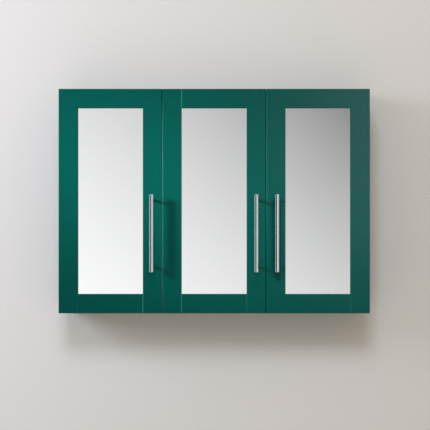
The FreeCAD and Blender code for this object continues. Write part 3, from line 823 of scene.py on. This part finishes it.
# %% [markdown]
# ## Handles and hinges
# A bar handle's ends are turned with a small radius. Hinge arms, links and cups are pressed from sheet, so
# every outer edge of theirs is a little round.

# %% Ease the metal parts
BAR_EASE = 0.0004
SHEET_EASE = 0.0003
CUP_EASE = 0.0002

for door in DOORS:
    bars.objects.link(eased(f"handle_bar_{door}", BAR_EASE))
    eased(f"hinge_links_{door}", SHEET_EASE)
    eased(f"hinge_cups_{door}", CUP_EASE)
    eased(f"mirror_clips_{door}", SHEET_EASE)
eased("hinge_arms", BAR_EASE)

# %% [markdown]
# ## Cross-headed screws
# The screws in the CAD model are two plain cylinders. A real one has a domed head with a cross cut into it.
# It is modelled once, head up at the origin: a short cylinder whose rim is bevelled into a dome, and whose
# underside is inset and extruded into the shank and its point. Two bars then cut the cross with a Boolean
# modifier. All its proportions are shares of the head or of the length.

# %% Model the screws
DOME = 0.7
POINT = 0.2
TIP = 0.25
CROSS_LENGTH = 0.56
CROSS_WIDTH = 0.13
CROSS_DEPTH = 1.3


def cut_cross(screw, head, height):
    size = (head * CROSS_LENGTH, head * CROSS_WIDTH, height * CROSS_DEPTH)
    for turn in (0, 90):
        turned = (0, 0, math.radians(turn))
        bpy.ops.mesh.primitive_cube_add(size=1, location=(0, 0, height), rotation=turned, scale=size)
        bar = bpy.context.object
        on_its_own(screw)
        cross = screw.modifiers.new("cross", "BOOLEAN")
        cross.object = bar
        bpy.ops.object.modifier_apply(modifier=cross.name)
        bpy.data.objects.remove(bar)


def model_screw(head, height, shank, length):
    """A screw of those diameters, its head standing on z = 0."""
    bpy.ops.object.select_all(action="DESELECT")
    bpy.ops.mesh.primitive_cylinder_add(vertices=32, radius=head / 2, depth=height,
                                        location=(0, 0, height / 2))
    screw = bpy.context.object
    bpy.ops.object.transform_apply(location=True)
    bpy.ops.object.mode_set(mode="EDIT")
    pick_edges(screw.data, lambda middle: middle.z > height * 0.9)
    bpy.ops.mesh.bevel(offset=height * DOME, segments=4, profile=0.5, clamp_overlap=True)
    pick_faces(screw.data, lambda normal: normal.z < -0.9)
    bpy.ops.mesh.inset(thickness=(head - shank) / 2)
    for share in (1 - POINT, POINT):
        bpy.ops.mesh.extrude_region_move(TRANSFORM_OT_translate={"value": (0, 0, -length * share)})
    bpy.ops.transform.resize(value=(TIP, TIP, 1))
    bpy.ops.object.mode_set(mode="OBJECT")
    cut_cross(screw, head, height)
    bpy.ops.object.shade_smooth_by_angle(angle=SMOOTH)
    return screw


handle_screw = model_screw(head=0.008, height=0.0024, shank=0.004, length=0.032)
cup_screw = model_screw(head=0.0065, height=0.001, shank=0.0035, length=0.0118)
clip_screw = model_screw(head=0.006, height=0.0006, shank=0.003, length=0.0112)
plate_screw = model_screw(head=0.008, height=0.002, shank=0.004, length=0.0145)
print("faces of a handle screw:", len(handle_screw.data.polygons))

# %% [markdown]
# ## Copy a fitting to its places
# What repeats is modelled once. Copies of the model go to their places, each with a mesh of its own. They
# are then joined into one piece, and their places are applied to its mesh, so that the finished object sits
# at the origin as a CAD node does.

# %% Helpers for fittings
TURN_BACK = (math.radians(-90), 0, 0)


def copies(pattern, places, turn=TURN_BACK):
    made = []
    for place in places:
        copy = pattern.copy()
        copy.data = pattern.data.copy()
        bpy.context.collection.objects.link(copy)
        copy.location = place
        copy.rotation_euler = turn
        made.append(copy)
    return made


def joined(name, made):
    """Joins copies into one piece at the origin."""
    bpy.ops.object.select_all(action="DESELECT")
    for copy in made:
        copy.select_set(True)
    bpy.context.view_layer.objects.active = made[0]
    bpy.ops.object.join()
    bpy.ops.object.transform_apply(location=True, rotation=True, scale=True)
    made[0].name = name
    return made[0]


def hinge_edge(door):
    """The x of a door's hinged edge, and the way that the door reaches from it."""
    low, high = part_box(f"hinge_stile_{door}")
    return (high[0], -1) if door == "right" else (low[0], 1)


print("hinged edges:", {door: round(hinge_edge(door)[0], 4) for door in DOORS})

# %% [markdown]
# ## Drive the door screws
# Each door has two screws through its handle posts, four in its hinge cups and ten in the mirror clips, all
# driven from behind. Their places are measured from the door's hinged edge, so one loop serves all doors.

# %% Drive the door screws
DOOR_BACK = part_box("rail_top_middle")[1][1]
DOOR_WIDTH = abs(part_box("handle_stile_left")[1][0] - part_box("hinge_stile_left")[0][0])
HANDLE_HEIGHTS = (0.004, -0.188)
HINGE_Z = 0.225
HINGES = (-HINGE_Z, HINGE_Z)
CUP_IN = 0.030
CUP_STEP = 0.0225
CUP_RIM = 0.0008
CLIP_IN = 0.038
CLIP_HEIGHTS = (-0.15, -0.05, 0.05, 0.15)
CLIP_ENDS = (-0.2855, 0.2855)
CLIP_RIM = 0.0012


def either_side(middles, step):
    return [middle + shift for middle in middles for shift in (-step, step)]


for door in DOORS:
    edge, way = hinge_edge(door)
    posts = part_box(f"handle_posts_{door}")
    handle_x = (posts[0][0] + posts[1][0]) / 2
    made = copies(handle_screw, [(handle_x, DOOR_BACK, z) for z in HANDLE_HEIGHTS])
    cup_x = edge + way * CUP_IN
    made += copies(cup_screw, [(cup_x, DOOR_BACK + CUP_RIM, z) for z in either_side(HINGES, CUP_STEP)])
    clips = [(edge + way * u, z) for u in (CLIP_IN, DOOR_WIDTH - CLIP_IN) for z in CLIP_HEIGHTS]
    clips += [(edge + way * DOOR_WIDTH / 2, z) for z in CLIP_ENDS]
    made += copies(clip_screw, [(x, DOOR_BACK + CLIP_RIM, z) for x, z in clips])
    settle(joined(f"cross_screws_{door}", made), f"door_screws_{door}")
print("screws per door:", len(made))

# %% [markdown]
# ## Riveted hinge pins
# The link of each hinge turns on a riveted pin: a shaft whose ends are upset into low domes. Both end faces
# are extruded, widened and extruded again in one go, because they are selected together.

# %% Model a pin
PIN_RADIUS = 0.002
PIN_LENGTH = 0.016
DOME_WIDER = 1.5
DOME_HEIGHT = 0.001
DOME_EASE = 0.0008
LONGER = 1 + 2 * DOME_HEIGHT / PIN_LENGTH

bpy.ops.object.select_all(action="DESELECT")
bpy.ops.mesh.primitive_cylinder_add(vertices=24, radius=PIN_RADIUS, depth=PIN_LENGTH)
rivet = bpy.context.object
bpy.ops.object.mode_set(mode="EDIT")
pick_faces(rivet.data, lambda normal: abs(normal.z) > 0.9)
bpy.ops.mesh.extrude_region()
bpy.ops.transform.resize(value=(DOME_WIDER, DOME_WIDER, 1))
bpy.ops.mesh.extrude_region()
bpy.ops.transform.resize(value=(1, 1, LONGER))
pick_edges(rivet.data, lambda middle: abs(middle.z) > PIN_LENGTH / 2 + DOME_HEIGHT - TOUCH)
bpy.ops.mesh.bevel(offset=DOME_EASE, segments=4, profile=0.5, clamp_overlap=True)
bpy.ops.object.mode_set(mode="OBJECT")
bpy.ops.object.shade_smooth_by_angle(angle=SMOOTH)
print("pin:", round(rivet.dimensions.z * 1000, 1), "mm over its domes")

# %% [markdown]
# ## Fix the hinge arms
# Every hinge has one such pin and two screws that hold its arm's plate. The plates stand on the side panels
# and on the partition, so these screws are turned about Y and driven along X.

# %% Place the pins and the plate screws
PIN_IN = 0.028
PIN_Y = -0.118
PLATE_THICK = 0.0025
PLATE_Y = -0.091
PLATE_STEP = 0.016
HINGE_FACE = {
    "left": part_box("side_panel_left")[1][0],
    "middle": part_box("partition")[1][0],
    "right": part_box("side_panel_right")[0][0],
}

made = []
for door in DOORS:
    edge, way = hinge_edge(door)
    made += copies(rivet, [(edge + way * PIN_IN, PIN_Y, z) for z in HINGES], turn=(0, 0, 0))
    plate = HINGE_FACE[door] + way * PLATE_THICK
    spots = [(plate, PLATE_Y, z) for z in either_side(HINGES, PLATE_STEP)]
    made += copies(plate_screw, spots, turn=(0, math.radians(way * 90), 0))
settle(joined("arm_pins_and_screws", made), "hinge_fixings")
print("pins and plate screws:", len(made))

# %% [markdown]
# ## Door bumpers
# Soft clear drops keep a closing door from knocking on the carcass. A disc whose rim is bevelled almost to
# its full height makes a low dome. When the drops are in place, the patterns of all fittings can go.

# %% Model the bumpers
DROP_RADIUS = 0.004
DROP_HEIGHT = 0.0019
DROP_EASE = 0.0016
DROP_SMOOTH = math.radians(40)
DROP_IN = 0.030
DROP_ENDS = (-0.317, 0.317)

bpy.ops.object.select_all(action="DESELECT")
bpy.ops.mesh.primitive_cylinder_add(vertices=32, radius=DROP_RADIUS, depth=DROP_HEIGHT,
                                    location=(0, 0, DROP_HEIGHT / 2))
drop = bpy.context.object
bpy.ops.object.transform_apply(location=True)
bpy.ops.object.mode_set(mode="EDIT")
pick_edges(drop.data, lambda middle: middle.z > DROP_HEIGHT - TOUCH)
bpy.ops.mesh.bevel(offset=DROP_EASE, segments=5, profile=0.5, clamp_overlap=True)
bpy.ops.object.mode_set(mode="OBJECT")
bpy.ops.object.shade_smooth_by_angle(angle=DROP_SMOOTH)
for door in DOORS:
    edge, way = hinge_edge(door)
    drop_x = edge + way * (DOOR_WIDTH - DROP_IN)
    drops = copies(drop, [(drop_x, DOOR_BACK, z) for z in DROP_ENDS])
    settle(joined(f"clear_bumpers_{door}", drops), f"bumpers_{door}")
for pattern in (handle_screw, cup_screw, clip_screw, plate_screw, rivet, drop):
    bpy.data.objects.remove(pattern)
print("bumpers per door:", len(drops))
